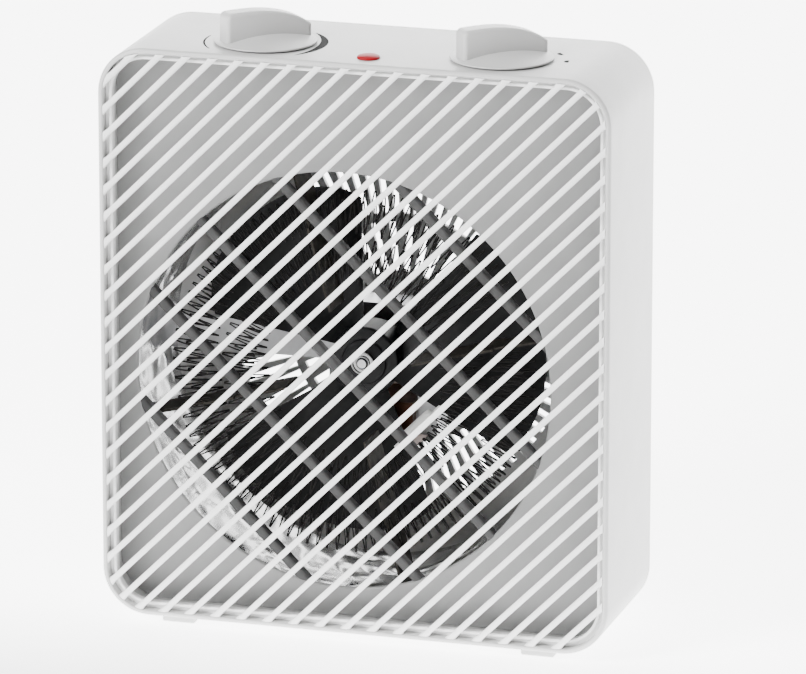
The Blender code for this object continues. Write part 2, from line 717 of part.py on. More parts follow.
def mica_arm(number):
    """Radial board with notches front and back where the wires cross it."""
    outer = DRUM_INNER - GAP
    steepness = 2 * TRACK_HALF_WIDTH / (TRACK_CROSSING * TRACK_PERIOD)
    half_notch = steepness * ARM_THICKNESS + WIRE_RADIUS * math.hypot(1, steepness) + GAP
    notch_floor = ARM_WIDTH - WIRE_NOTCH
    front_edge, back_edge = [], []
    for radius in TRACK_RADII:
        low, high = radius - half_notch, radius + half_notch
        front_edge += [(low, 0.0), (low, WIRE_NOTCH), (high, WIRE_NOTCH), (high, 0.0)]
        back_edge += [(low, ARM_WIDTH), (low, notch_floor), (high, notch_floor), (high, ARM_WIDTH)]
    points = [(ARM_INNER_RADIUS, 0.0), *front_edge, (outer, 0.0), (outer, ARM_WIDTH)]
    points += [*back_edge[::-1], (ARM_INNER_RADIUS, ARM_WIDTH)]
    curve = bpy.data.curves.new(f"mica_arm_{number}", "CURVE")
    curve.dimensions = "2D"
    curve.fill_mode = "BOTH"
    curve.extrude = ARM_THICKNESS / 2
    spline = curve.splines.new("POLY")
    spline.points.add(len(points) - 1)
    for point, (x, y) in zip(spline.points, points):
        point.co = (x, y, 0.0, 1.0)
    spline.use_cyclic_u = True
    obj = bpy.data.objects.new("arm_outline", curve)
    CUTTERS.objects.link(obj)
    obj.rotation_euler = (0, -(ARM_TURN + 2 * math.pi * (number - 1) / ARM_COUNT), 0)
    obj.location = on_axis(ARM_FRONT)
    return keep(f"mica_arm_{number}", solid_from_curve(obj, f"mica_arm_{number}"), "mica")


def track(radius, start, end, depth):
    """Points of a square-cut zigzag along an arc; it crosses the middle radius at every board."""
    per_quarter = max(2, round(radius * 2 * math.pi / ARM_COUNT / TRACK_PERIOD))
    period = 2 * math.pi / ARM_COUNT / per_quarter
    first = math.ceil((start - ARM_TURN) / period)
    last = math.floor((end - ARM_TURN) / period)
    points = []
    for index in range(first, last):
        angle = ARM_TURN + index * period
        lead = TRACK_CROSSING / 2
        for share, side in ((lead, 1), (0.5 - lead, 1), (0.5 + lead, -1), (1 - lead, -1)):
            points.append(polar(radius + side * TRACK_HALF_WIDTH, angle + share * period, depth))
    return points


def heating_element(name, depth):
    """Wire run out along the inner track, across, and back along the outer track."""
    start = ARM_TURN + TRACK_OPEN_ANGLE
    end = ARM_TURN + 2 * math.pi - TRACK_OPEN_ANGLE * 0.2
    inner = track(TRACK_RADII[0], start, end, depth)
    outer = track(TRACK_RADII[1], start, end, depth)
    return keep(name, tube_mesh(name, inner + outer[::-1], WIRE_RADIUS, 0), "resistance_wire")


def thermal_fuse():
    """Sleeved one-shot fuse with a bare lead at each end, lying parallel to the slats."""
    depth = (TRACK_DEPTHS[0] + TRACK_DEPTHS[1]) / 2
    centre = Vector(polar(FUSE_DISTANCE, FUSE_BEARING, depth))
    along = Vector((1, 0, 1)).normalized()
    half = FUSE_LENGTH / 2
    sections = [
        (FUSE_LEAD_RADIUS, -half - FUSE_LEAD_LENGTH),
        (FUSE_LEAD_RADIUS, -half),
        (FUSE_RADIUS * 0.8, -half),
        (FUSE_RADIUS, -half + FUSE_EDGE),
    ]
    profile = [(0.0, half + FUSE_LEAD_LENGTH)] + [(r, -h) for r, h in sections] + sections[::-1]
    profile.append((0.0, -half - FUSE_LEAD_LENGTH))
    fuse = turned("thermal_fuse", profile, "ceramic_sleeve", 12, centre, upright=True)
    fuse.rotation_euler = Vector((0, 0, 1)).rotation_difference(along).to_euler()
    return fuse


def thermal_cutout():
    """Bimetal disc switch standing on top of the drum."""
    foot = AXIS_Z + DRUM_OUTER + GAP
    profile = [
        (0.0, CUTOUT_HEIGHT),
        (CUTOUT_RADIUS * 0.7, CUTOUT_HEIGHT),
        (CUTOUT_RADIUS * 0.7, CUTOUT_HEIGHT * 0.45),
        (CUTOUT_RADIUS, CUTOUT_HEIGHT * 0.45),
        (CUTOUT_RADIUS, 0.0),
        (0.0, 0.0),
    ]
    place = (AXIS_X, back(DRUM_FRONT + CUTOUT_DEPTH), foot)
    return turned("thermal_cutout", profile, "black_plastic", 18, place, upright=True)


# ---- fan and motor -------------------------------------------------------------------------------------
def fan():
    """Hub with three wide helical blades; it turns on the shaft's axis."""
    profile = [
        (HUB_RADIUS * 0.62, 0.0),
        (HUB_RADIUS * 0.66, -0.0012),
        (HUB_RADIUS * 0.94, -0.0012),
        (HUB_RADIUS, -0.0026),
        (HUB_RADIUS, -HUB_LENGTH),
        (SHAFT_BORE, -HUB_LENGTH),
        (SHAFT_BORE, 0.0),
    ]
    wheel = turned("fan", profile, "black_plastic", 24, on_axis(HUB_FRONT))
    along, across = 9, 2
    root = HUB_RADIUS - 0.002
    for number in range(BLADE_COUNT):
        bm = bmesh.new()
        bmesh.ops.create_grid(bm, x_segments=along, y_segments=across, size=0.5)
        for vert in bm.verts:
            share, reach = vert.co.x + 0.5, vert.co.y + 0.5
            edge = 1.0 - 0.10 * abs(2 * share - 1) ** 4
            radius = root + (FAN_RADIUS - root) * reach * edge
            angle = 2 * math.pi * number / BLADE_COUNT + FAN_TURN + (share - 0.5) * BLADE_ARC
            depth = HUB_LENGTH * 0.5 + (share - 0.5) * BLADE_SWEEP
            vert.co = (radius * math.cos(angle), radius * math.sin(angle), -depth)
        blade = tool("fan_blade", mesh_from(bm, "fan_blade"))
        blade.location = on_axis(HUB_FRONT)
        blade.rotation_euler = (math.pi / 2, 0, 0)
        skin = blade.modifiers.new("thickness", "SOLIDIFY")
        skin.thickness = BLADE_THICKNESS
        skin.offset = 0.0
        combine(wheel, blade, "UNION")
    return wheel


def fan_clip():
    front = HUB_FRONT - GAP - CLIP_THICKNESS
    bore = SHAFT_BORE
    profile = [
        (CLIP_OUTER_RADIUS * 0.85, 0.0),
        (CLIP_OUTER_RADIUS, -CLIP_THICKNESS * 0.4),
        (CLIP_OUTER_RADIUS, -CLIP_THICKNESS),
        (bore, -CLIP_THICKNESS),
        (bore, -CLIP_THICKNESS * 0.3),
        (bore + 0.0007, 0.0),
    ]
    return turned("fan_clip", profile, "bright_metal", 20, on_axis(front))


def motor():
    """Shaft, rotor, laminated frame, coil, two brackets with bearings, a strap and two long screws."""
    shaft_front = HUB_FRONT - SHAFT_NOSE
    profile = [
        (0.0, -shaft_front),
        (SHAFT_RADIUS, -shaft_front),
        (SHAFT_RADIUS, -SHAFT_BACK),
        (0.0, -SHAFT_BACK),
    ]
    turned("motor_shaft", profile, "steel", 20, on_axis())
    rotor_front, rotor_back = STATOR_FRONT + GAP, STATOR_BACK - GAP
    rotor = ring_profile(ROTOR_RADIUS, SHAFT_BORE, rotor_front, rotor_back)
    turned("motor_rotor", rotor, "steel", 24, on_axis())

    half = STATOR_WIDTH / 2
    bottom = AXIS_Z - STATOR_BELOW
    outer = [(AXIS_X - half, bottom), (AXIS_X + half, bottom), (AXIS_X + half, AXIS_Z + STATOR_ABOVE),
             (AXIS_X - half, AXIS_Z + STATOR_ABOVE)]
    rotor_hole = circle_outline(AXIS_X, AXIS_Z, ROTOR_RADIUS + ROTOR_AIR_GAP, 24)
    window_top = AXIS_Z - ROTOR_RADIUS - 0.005
    window_half = half - STATOR_SIDE
    window = [(AXIS_X - window_half, bottom + YOKE_HEIGHT), (AXIS_X + window_half, bottom + YOKE_HEIGHT),
              (AXIS_X + window_half, window_top), (AXIS_X - window_half, window_top)]
    screw_half = MOTOR_SCREW_SPACING / 2
    screw_bore = MOTOR_SCREW_RADIUS + GAP
    screw_holes = [circle_outline(AXIS_X + side * screw_half, AXIS_Z, screw_bore, 10) for side in (-1, 1)]
    stator = plate_mesh("motor_stator", [outer, rotor_hole, window, *screw_holes], STATOR_FRONT, STATOR_BACK)
    keep("motor_stator", stator, "steel")

    coil_half = window_half - GAP * 2
    yoke_middle = bottom + YOKE_HEIGHT / 2
    passage_half = YOKE_HEIGHT / 2 + GAP
    coil_reach = passage_half + COIL_WALL
    low = (AXIS_X - coil_half, back(STATOR_FRONT - GAP - COIL_WALL), yoke_middle - coil_reach)
    high = (AXIS_X + coil_half, back(STATOR_BACK + GAP + COIL_WALL), yoke_middle + coil_reach)
    coil = keep("motor_coil", box_mesh("motor_coil", low, high), "copper_winding")
    through_low = (AXIS_X - half, back(STATOR_FRONT - GAP), yoke_middle - passage_half)
    through_high = (AXIS_X + half, back(STATOR_BACK + GAP), yoke_middle + passage_half)
    combine(coil, tool("yoke_passage", box_mesh("yoke_passage", through_low, through_high)), "DIFFERENCE")

    bearing_hole = BEARING_RADIUS + GAP
    brackets = (("front", BRACKET_FRONT, BRACKET_FRONT + BRACKET_THICKNESS),
                ("rear", BRACKET_REAR, BRACKET_REAR + BRACKET_THICKNESS))
    for side_name, front, rear in brackets:
        reach = screw_half + MOTOR_SCREW_HEAD_RADIUS
        bar = rounded_outline(reach, AXIS_Z - BRACKET_WIDTH / 2, AXIS_Z + BRACKET_WIDTH / 2, 0.003, 3)
        bar = [(AXIS_X + x, z) for x, z in bar]
        seat = circle_outline(AXIS_X, AXIS_Z, bearing_hole, 16)
        mesh = plate_mesh(f"motor_bracket_{side_name}", [bar, seat, *screw_holes], front, rear)
        keep(f"motor_bracket_{side_name}", mesh, "steel")
    front_end = BRACKET_FRONT + BRACKET_THICKNESS
    front_bearing = ring_profile(BEARING_RADIUS, SHAFT_BORE, HUB_BACK + HUB_STANDOFF, front_end)
    turned("front_bearing", front_bearing, "brass", 16, on_axis())
    rear_end = BRACKET_REAR + BEARING_LENGTH
    rear_bearing = ring_profile(BEARING_RADIUS, SHAFT_BORE, BRACKET_REAR, rear_end)
    turned("rear_bearing", rear_bearing, "brass", 16, on_axis())

    for number, side in enumerate((-1, 1), start=1):
        seat = BRACKET_REAR + BRACKET_THICKNESS
        shank = seat - BRACKET_FRONT
        screw(f"motor_screw_{number}", AXIS_X + side * screw_half, AXIS_Z, seat, shank, MOTOR_SCREW_RADIUS,
              MOTOR_SCREW_HEAD_RADIUS, MOTOR_SCREW_HEAD_HEIGHT)

    reach = DRUM_OUTER + DRUM_FLANGE
    low = (-reach, 0, -STRAP_WIDTH / 2)
    strap = box_mesh("motor_strap", low, (reach, STRAP_THICKNESS, STRAP_WIDTH / 2))
    strap.transform(Matrix.Translation(on_axis(STRAP_FRONT)))
    mount = keep("motor_strap", strap, "steel")
    hole = rod_mesh("strap_hole", bearing_hole, on_axis(STRAP_FRONT - 0.01), on_axis(STRAP_FRONT + 0.01))
    combine(mount, tool("strap_hole", hole), "DIFFERENCE")


# ---- top controls --------------------------------------------------------------------------------------
def knob(name, x):
    """Low domed skirt with a finger fin, blunt at its nose and falling away to its tail.

    Its origin is on its spindle's axis.
    """
    profile = [(KNOB_RADIUS, 0.0), (0.0, 0.0)]
    for share in (0.98, 0.86, 0.66, 0.42, 0.0):
        profile.insert(0, (KNOB_RADIUS * share, KNOB_RIM + (KNOB_DOME - KNOB_RIM) * (1 - share ** 2)))
    base = turned(name, profile, "white_plastic", 32, (x, back(KNOB_DEPTH), KNOB_BASE_Z), upright=True)
    base.rotation_euler = (0, 0, KNOB_TURN)
    outline = [(-GRIP_FIN_LENGTH / 2, KNOB_RIM / 2)]
    for step in range(13):
        share = step / 12
        reach = FIN_TAIL_REACH if share > FIN_PEAK else FIN_NOSE_REACH
        height = GRIP_FIN_HEIGHT * math.sqrt(1 - ((share - FIN_PEAK) / reach) ** 2)
        outline.append((GRIP_FIN_LENGTH * (share - 0.5), height))
    outline.append((GRIP_FIN_LENGTH / 2, KNOB_RIM / 2))
    bm = bmesh.new()
    sides = []
    for y in (-GRIP_FIN_WIDTH / 2, GRIP_FIN_WIDTH / 2):
        sides.append([bm.verts.new((px, y, pz)) for px, pz in outline])
    count = len(outline)
    for i in range(count):
        j = (i + 1) % count
        bm.faces.new((sides[0][i], sides[0][j], sides[1][j], sides[1][i]))
    bm.faces.new(sides[0])
    bm.faces.new(sides[1][::-1])
    fin = tool(name + "_fin", mesh_from(bm, name + "_fin"))
    fin.location = base.location
    fin.rotation_euler = base.rotation_euler
    combine(base, fin, "UNION")
    socket = rod_mesh(name + "_socket", SPINDLE_RADIUS + GAP, (0, 0, -THROUGH), (0, 0, SOCKET_DEPTH))
    cut = tool(name + "_socket", socket)
    cut.location = base.location
    combine(base, cut, "DIFFERENCE")


def control(name, width, height, x):
    """Control body under the top, with a spindle up through it into the knob."""
    top = TOP_Z - WALL - GAP
    front = PLATE_BACK + GAP * 2
    low = (x - width / 2, back(front), top - height)
    high = (x + width / 2, back(front + CONTROL_DEPTH), top)
    body = keep(f"{name}_body", box_mesh(f"{name}_body", low, high), "black_plastic")
    spot = (x, back(KNOB_DEPTH))
    foot = top - SPINDLE_INSERT
    bore = rod_mesh(f"{name}_bore", SPINDLE_RADIUS + GAP, (*spot, foot - GAP), (*spot, top + THROUGH))
    combine(body, tool(f"{name}_bore", bore), "DIFFERENCE")
    head = KNOB_BASE_Z + SOCKET_DEPTH - GAP
    spindle = rod_mesh(f"{name}_spindle", SPINDLE_RADIUS, (0, 0, foot), (0, 0, head))
    made = keep(f"{name}_spindle", spindle, "white_plastic")
    made.location = (x, back(KNOB_DEPTH), 0)


def lamp():
    """Round red lens pushed through the top, with a retaining collar under it."""
    spot = (LAMP_X, back(LAMP_DEPTH), 0.0)
    seat = TOP_Z + GAP
    profile = [
        (0.0, seat + LAMP_HEAD),
        (LAMP_HEAD_RADIUS * 0.55, seat + LAMP_HEAD * 0.9),
        (LAMP_HEAD_RADIUS * 0.88, seat + LAMP_HEAD * 0.6),
        (LAMP_HEAD_RADIUS, seat + LAMP_HEAD * 0.2),
        (LAMP_HEAD_RADIUS, seat),
        (LAMP_RADIUS, seat),
        (LAMP_RADIUS, TOP_Z - WALL - LAMP_DROP),
        (0.0, TOP_Z - WALL - LAMP_DROP),
    ]
    turned("lamp_lens", profile, "red_lens", 24, spot, upright=True)
    under = TOP_Z - WALL - GAP
    bore = LAMP_RADIUS + GAP
    outer = bore + LAMP_COLLAR_WALL
    low = under - LAMP_COLLAR_HEIGHT
    section = [(outer, under), (outer, low), (bore, low), (bore, under)]
    turned("lamp_collar", section, "black_plastic", 24, spot, upright=True)


# ---- base ----------------------------------------------------------------------------------------------
def feet():
    """Four flat pads under the case, kept clear of it by the usual gap."""
    for depth, end in zip(FOOT_DEPTHS, ("front", "rear")):
        for side, hand in ((-1, "left"), (1, "right")):
            name = f"foot_{end}_{hand}"
            low = (side * FOOT_X - FOOT_WIDTH / 2, back(depth), 0.0)
            high = (side * FOOT_X + FOOT_WIDTH / 2, back(depth + FOOT_LENGTH), FOOT_HEIGHT - GAP)
            pad = keep(name, box_mesh(name, low, high), "white_plastic")
            soft = pad.modifiers.new("edges", "BEVEL")
            soft.width = 0.0006
            soft.segments = 1


def tip_over_switch():
    """Sprung plunger that stands on the floor and is held up by it, under a switch body on the case floor."""
    floor = BASE_Z + WALL
    spot = Vector((PLUNGER_X, back(PLUNGER_DEPTH), 0))
    chamber = PLUNGER_COLLAR + GAP * 2
    body_low = floor + GAP
    ceiling = body_low + PLUNGER_TRAVEL + TIP_CHAMBER_HEIGHT
    half = Vector((TIP_BODY_WIDTH / 2, TIP_BODY_LENGTH / 2, 0))
    low, high = Vector((0, 0, body_low)), Vector((0, 0, body_low + TIP_BODY_HEIGHT))
    mesh = box_mesh("tip_switch_body", spot - half + low, spot + half + high)
    body = keep("tip_switch_body", mesh, "black_plastic")
    mouth, roof = Vector((0, 0, body_low - THROUGH)), Vector((0, 0, ceiling))
    hollow = rod_mesh("tip_chamber", chamber, spot + mouth, spot + roof)
    combine(body, tool("tip_chamber", hollow), "DIFFERENCE")
    collar_low = floor + GAP + PLUNGER_TRAVEL
    collar_top = collar_low + PLUNGER_COLLAR_HEIGHT
    profile = [
        (0.0, collar_top),
        (PLUNGER_COLLAR, collar_top),
        (PLUNGER_COLLAR, collar_low),
        (PLUNGER_RADIUS, collar_low),
        (PLUNGER_RADIUS, PLUNGER_TIP),
        (PLUNGER_RADIUS * 0.7, GAP / 3),
        (0.0, GAP / 3),
    ]
    turned("tip_switch_plunger", profile, "white_plastic", 16, spot, upright=True)
    start, end = collar_top + GAP + SPRING_WIRE, ceiling - GAP - SPRING_WIRE
    per_turn = 8
    radius = PLUNGER_COLLAR - SPRING_WIRE - GAP
    points = []
    for step in range(SPRING_TURNS * per_turn + 1):
        angle = 2 * math.pi * step / per_turn
        share = step / (SPRING_TURNS * per_turn)
        offset = Vector((radius * math.cos(angle), radius * math.sin(angle), start + (end - start) * share))
        points.append(spot + offset)
    keep("tip_switch_spring", tube_mesh("tip_switch_spring", points, SPRING_WIRE, 0), "steel")
    return ceiling


def smooth_path(knots, per_span):
    """Catmull-Rom curve through the knots."""
    points = [Vector(knot) for knot in knots]
    padded = [points[0] * 2 - points[1], *points, points[-1] * 2 - points[-2]]
    path = []
    for before, start, end, after in zip(padded, padded[1:], padded[2:], padded[3:]):
        for step in range(per_span):
            t = step / per_span
            bend = (2 * before - 5 * start + 4 * end - after) * t * t
            twist = (3 * start - before - 3 * end + after) * t ** 3
            path.append(0.5 * (2 * start + (end - before) * t + bend + twist))
    path.append(points[-1])
    return path


def wiring():
    """Terminal block on the right wall and the leads from it to the controls and the motor."""
    width, length, height = TERMINAL_SIZE
    centre_x = HALF_WIDTH - WALL - GAP - width / 2
    centre = Vector((centre_x, back(CASE_DEPTH - length), BASE_Z + TERMINAL_HEIGHT))
    half = Vector((width, length, height)) / 2
    block = keep("terminal_block", box_mesh("terminal_block", centre - half, centre + half), "ceramic_sleeve")
    for index in (-1, 0, 1):
        spot = centre + Vector((0, 0, index * height * 0.3))
        reach = Vector((0, length, 0))
        cut = rod_mesh("terminal_entry", TERMINAL_BORE, spot - reach, spot + reach, 12)
        combine(block, tool("terminal_entry", cut), "DIFFERENCE")
    control_top = TOP_Z - WALL - GAP
    control_y = back(PLATE_BACK + GAP * 2 + CONTROL_DEPTH / 2)
    bottoms = [control_top - height for *_, height in CONTROL_BODIES]
    widths = [width for _, _, width, _ in CONTROL_BODIES]
    block_top = centre.z + half.z
    stub = LEAD_RADIUS * 4
    lane_x = HALF_WIDTH - WALL - LEAD_RADIUS * 4
    feed_x = KNOB_XS[1] + widths[1] * 0.25
    turn_x = lane_x + (feed_x - lane_x) * LEAD_TURN
    out_x = KNOB_XS[1] - widths[1] * 0.30
    in_x = KNOB_XS[0] + widths[0] * 0.25
    runs = {
        "lead_switch": [
            (centre.x, centre.y, block_top + GAP),
            (centre.x, centre.y, block_top + stub),
            (lane_x, centre.y, block_top + LEAD_DROP),
            (turn_x, centre.y - LEAD_DRIFT, bottoms[1] - LEAD_DROP),
            (feed_x, control_y, bottoms[1] - stub),
            (feed_x, control_y, bottoms[1] - GAP),
        ],
        "lead_thermostat": [
            (out_x, control_y, bottoms[1] - GAP),
            (out_x, control_y, bottoms[1] - stub),
            (KNOB_MID_X, control_y + LEAD_DRIFT, bottoms[1] - LEAD_SAG),
            (in_x, control_y, bottoms[0] - stub),
            (in_x, control_y, bottoms[0] - GAP),
        ],
    }
    for name, knots in runs.items():
        path = [knots[0], *smooth_path(knots[1:-1], 5), knots[-1]]
        keep(name, tube_mesh(name, path, LEAD_RADIUS, 1), "lead_sleeve")


def build():
    front_case()
    front_grille()
    baffle_plate()
    rear_cover()
    case_screws()
    cord_gland()
    reflector_drum()
    for number in range(1, ARM_COUNT + 1):
        mica_arm(number)
    heating_element("element_low", TRACK_DEPTHS[0])
    heating_element("element_high", TRACK_DEPTHS[1])
    thermal_fuse()
    thermal_cutout()
    fan()
    fan_clip()
    motor()
    for (name, knob_name, width, height), x in zip(CONTROL_BODIES, KNOB_XS):
        knob(knob_name, x)
        control(name, width, height, x)
    lamp()
    feet()
    tip_over_switch()
    wiring()
    for obj in HEATER.objects:
        smooth(obj.data)


build()
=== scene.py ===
import json
import math

import bmesh
import bpy
import numpy as np
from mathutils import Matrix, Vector


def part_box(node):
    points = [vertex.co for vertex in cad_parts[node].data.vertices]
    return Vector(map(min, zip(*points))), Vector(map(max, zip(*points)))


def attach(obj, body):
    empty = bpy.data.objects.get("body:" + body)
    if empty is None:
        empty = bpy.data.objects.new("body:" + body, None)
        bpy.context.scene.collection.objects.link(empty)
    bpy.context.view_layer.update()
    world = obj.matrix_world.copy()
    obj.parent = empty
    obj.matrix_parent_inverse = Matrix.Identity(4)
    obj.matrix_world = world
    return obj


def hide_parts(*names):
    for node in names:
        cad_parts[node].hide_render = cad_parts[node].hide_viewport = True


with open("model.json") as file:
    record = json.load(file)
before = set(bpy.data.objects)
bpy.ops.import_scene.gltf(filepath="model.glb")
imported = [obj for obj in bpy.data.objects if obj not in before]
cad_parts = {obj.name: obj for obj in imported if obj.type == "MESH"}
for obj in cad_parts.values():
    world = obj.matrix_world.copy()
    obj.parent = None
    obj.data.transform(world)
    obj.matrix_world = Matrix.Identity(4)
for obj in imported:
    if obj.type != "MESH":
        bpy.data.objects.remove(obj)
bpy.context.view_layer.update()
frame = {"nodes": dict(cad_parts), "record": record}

# ---- sizes read from the fixed frame, in metres ----
case_low, case_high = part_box("front_case")
HALF = case_high.x
BASE = case_low.z
TOP = case_high.z
MIDDLE = (BASE + TOP) / 2
FRONT = case_low.y
shaft_low, shaft_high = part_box("motor_shaft")
AXIS = np.array([(shaft_low.x + shaft_high.x) / 2, (shaft_low.z + shaft_high.z) / 2])
drum_low, drum_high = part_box("reflector_drum")
plate_low, plate_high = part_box("baffle_plate")

CASE_DEPTH = 0.072
CORNER = 0.021
WALL = 0.0022
OPENING = 0.0938
SLAT_PITCH = 0.00845
SLAT_SHIFT = -0.0020
SLAT_WIDTH = 0.0026
SLAT_DEPTH = 0.0050
GRILLE_GAP = 0.0001
LEDGE = 0.0041
LEDGE_WIDTH = 0.0014
LEDGE_BACK = 0.0070
GROOVE_FLOOR = 0.0048
POST_INSET = 0.029
POST_RADIUS = 0.0040
POST_BORE = 0.0017
BAR_COUNT = 5
BAR_PITCH = 0.0397
BAR_SHIFT = 0.0017
BAR_WIDTH = 0.0045
DRUM_GAP = 0.0007
DRUM_SKIN = 0.0008
PUNCH_RADIUS = 0.0021
PUNCH_DEPTH = 0.012
WIRE = 0.00034
TRACKS = (0.050, 0.0725)
TRACK_HALF = 0.0085
HUB = 0.0156
HUB_BORE = 0.0024
HUB_FRONT = FRONT + 0.0500
CLIP_FRONT = FRONT + 0.0479
BLADE_TIP = 0.0820
FAN_TURN = math.radians(131)
BLADE_ARC = math.radians(80)
BLADE_SWEEP = 0.0145
KNOB_RADIUS = 0.0225
KNOB_RIM = 0.0008
KNOB_CROWN = 0.0040
KNOB_TURN = math.radians(41)
FIN_LENGTH = 0.0400
FIN_HALF = 0.0049
FIN_ROUND = 0.0018
FIN_PEAK = 0.30
LENS_STEM = 0.0034


# ---- finishes ----
def wave(tree, kind, scale, detail=3.0, **settings):
    """A pattern read at object coordinates; its value goes out of the first socket."""
    place = tree.nodes.new("ShaderNodeTexCoord")
    pattern = tree.nodes.new(kind)
    for key, value in {"Scale": scale, "Detail": detail, **settings}.items():
        if key in pattern.inputs:
            pattern.inputs[key].default_value = value
    tree.links.new(place.outputs["Object"], pattern.inputs["Vector"])
    return pattern


def finish_of(name, dark, light, roughness, metallic=0.0, mottle=60.0, grain=1800.0, specular=0.5,
              kind="ShaderNodeTexNoise"):
    """Colour wanders between two tones on a slow pattern; roughness and relief follow a fine grain."""
    made = bpy.data.materials.new(name)
    made.use_nodes = True
    tree = made.node_tree
    shader = tree.nodes["Principled BSDF"]
    shader.inputs["Metallic"].default_value = metallic
    shader.inputs["Specular IOR Level"].default_value = specular
    slow = wave(tree, "ShaderNodeTexNoise", mottle)
    ramp = tree.nodes.new("ShaderNodeValToRGB")
    ramp.color_ramp.elements[0].position = 0.3
    ramp.color_ramp.elements[1].position = 0.7
    ramp.color_ramp.elements[0].color = (*dark, 1)
    ramp.color_ramp.elements[1].color = (*light, 1)
    tree.links.new(slow.outputs[0], ramp.inputs[0])
    tree.links.new(ramp.outputs[0], shader.inputs["Base Color"])
    fine = wave(tree, kind, grain, 2.0)
    spread = tree.nodes.new("ShaderNodeMapRange")
    spread.inputs["To Min"].default_value = roughness * 0.85
    spread.inputs["To Max"].default_value = roughness * 1.15
    tree.links.new(fine.outputs[0], spread.inputs["Value"])
    tree.links.new(spread.outputs[0], shader.inputs["Roughness"])
    relief = tree.nodes.new("ShaderNodeBump")
    relief.inputs["Distance"].default_value = 0.00004
    relief.inputs["Strength"].default_value = 0.6
    tree.links.new(fine.outputs[0], relief.inputs["Height"])
    tree.links.new(relief.outputs[0], shader.inputs["Normal"])
    return made


FINISHES = {
    "white_plastic": finish_of("white_plastic", (0.49, 0.49, 0.485), (0.53, 0.53, 0.525), 0.42),
    # Painted light: the slats are the same white plastic as the case, and this much lighter copy paints on
    # them the light they catch.
    "grille_white_painted_light": finish_of("grille_white_painted_light", (0.84, 0.84, 0.835), (0.88, 0.88, 0.875), 0.36),
    "grey_plate": finish_of("grey_plate", (0.33, 0.33, 0.33), (0.37, 0.37, 0.37), 0.50),
    "guard_grey": finish_of(
        "guard_grey", (0.065, 0.065, 0.065), (0.095, 0.095, 0.095), 0.5, specular=0.3),
    "black_plastic": finish_of(
        "black_plastic", (0.0035, 0.0035, 0.004), (0.007, 0.007, 0.008), 0.42, specular=0.25),
    "mica": finish_of(
        "mica", (0.020, 0.018, 0.015), (0.045, 0.040, 0.034), 0.6, mottle=220.0, specular=0.2,
        kind="ShaderNodeTexVoronoi"),
    "resistance_wire": finish_of(
        "resistance_wire", (0.004, 0.0038, 0.0036), (0.012, 0.011, 0.010), 0.55, 0.2, specular=0.25),
    "ceramic_sleeve": finish_of("ceramic_sleeve", (0.80, 0.80, 0.78), (0.88, 0.88, 0.86), 0.45),
    "copper_winding": finish_of(
        "copper_winding", (0.045, 0.016, 0.007), (0.09, 0.034, 0.015), 0.5, 0.6, grain=900.0),
    "brass": finish_of("brass", (0.55, 0.40, 0.17), (0.68, 0.50, 0.22), 0.33, 1.0),
    "steel": finish_of("steel", (0.42, 0.42, 0.43), (0.55, 0.55, 0.56), 0.32, 1.0, mottle=120.0),
    "bright_metal": finish_of("bright_metal", (0.32, 0.32, 0.32), (0.42, 0.42, 0.42), 0.16, 1.0),
    "lead_sleeve": finish_of("lead_sleeve", (0.72, 0.71, 0.68), (0.80, 0.79, 0.76), 0.50),
    "red_lens": finish_of(
        "red_lens", (0.24, 0.002, 0.007), (0.34, 0.005, 0.012), 0.45, specular=0.15, mottle=400.0),
    "print_ink": finish_of(
        "print_ink", (0.004, 0.004, 0.004), (0.008, 0.008, 0.008), 0.8, specular=0.1),
}


def wavy_sheet():
    """Bright rolled sheet: a slow swell bends its reflections."""
    made = FINISHES["bright_metal"].copy()
    made.name = "wavy_sheet"
    tree = made.node_tree
    shader = tree.nodes["Principled BSDF"]
    swell = wave(tree, "ShaderNodeTexNoise", 30.0, 1.0, Distortion=1.4)
    relief = tree.nodes.new("ShaderNodeBump")
    relief.inputs["Distance"].default_value = 0.0020
    relief.inputs["Strength"].default_value = 0.8
    tree.links.new(swell.outputs[0], relief.inputs["Height"])
    tree.links.new(relief.outputs[0], shader.inputs["Normal"])
    return made


FINISHES["wavy_sheet"] = wavy_sheet()


# ---- surfaces ----
def quads(rows, columns, round_rows=False, round_columns=False):
    """Corner numbers of the quads of a grid of rows x columns points."""
    i, j = np.meshgrid(
        np.arange(rows if round_rows else rows - 1),
        np.arange(columns if round_columns else columns - 1),
        indexing="ij",
    )
    below, beside = (i + 1) % rows, (j + 1) % columns
    corners = [i * columns + j, below * columns + j, below * columns + beside, i * columns + beside]
    return np.stack(corners, -1).reshape(-1, 4)


def punch(obj, rods):
    """Takes the closed rods out of the piece: each rod is a grid of circles along its own line."""
    mesh = bpy.data.meshes.new("punch")
    count, rows, columns, _ = rods.shape
    cells = quads(rows, columns, False, True)
    offsets = np.arange(count)[:, None, None] * rows * columns
    mesh.from_pydata(rods.reshape(-1, 3).tolist(), [], (cells[None] + offsets).reshape(-1, 4).tolist())
    built = bmesh.new()
    built.from_mesh(mesh)
    bmesh.ops.remove_doubles(built, verts=built.verts, dist=0.000002)
    bmesh.ops.recalc_face_normals(built, faces=built.faces)
    built.to_mesh(mesh)
    built.free()
    cutter = bpy.data.objects.new("punch", mesh)
    bpy.context.scene.collection.objects.link(cutter)
    holes = obj.modifiers.new("holes", "BOOLEAN")
    holes.object, holes.operation, holes.solver = cutter, "DIFFERENCE", "EXACT"
    done = obj.evaluated_get(bpy.context.evaluated_depsgraph_get())
    obj.data = bpy.data.meshes.new_from_object(done)
    obj.modifiers.clear()
    bpy.data.objects.remove(cutter)


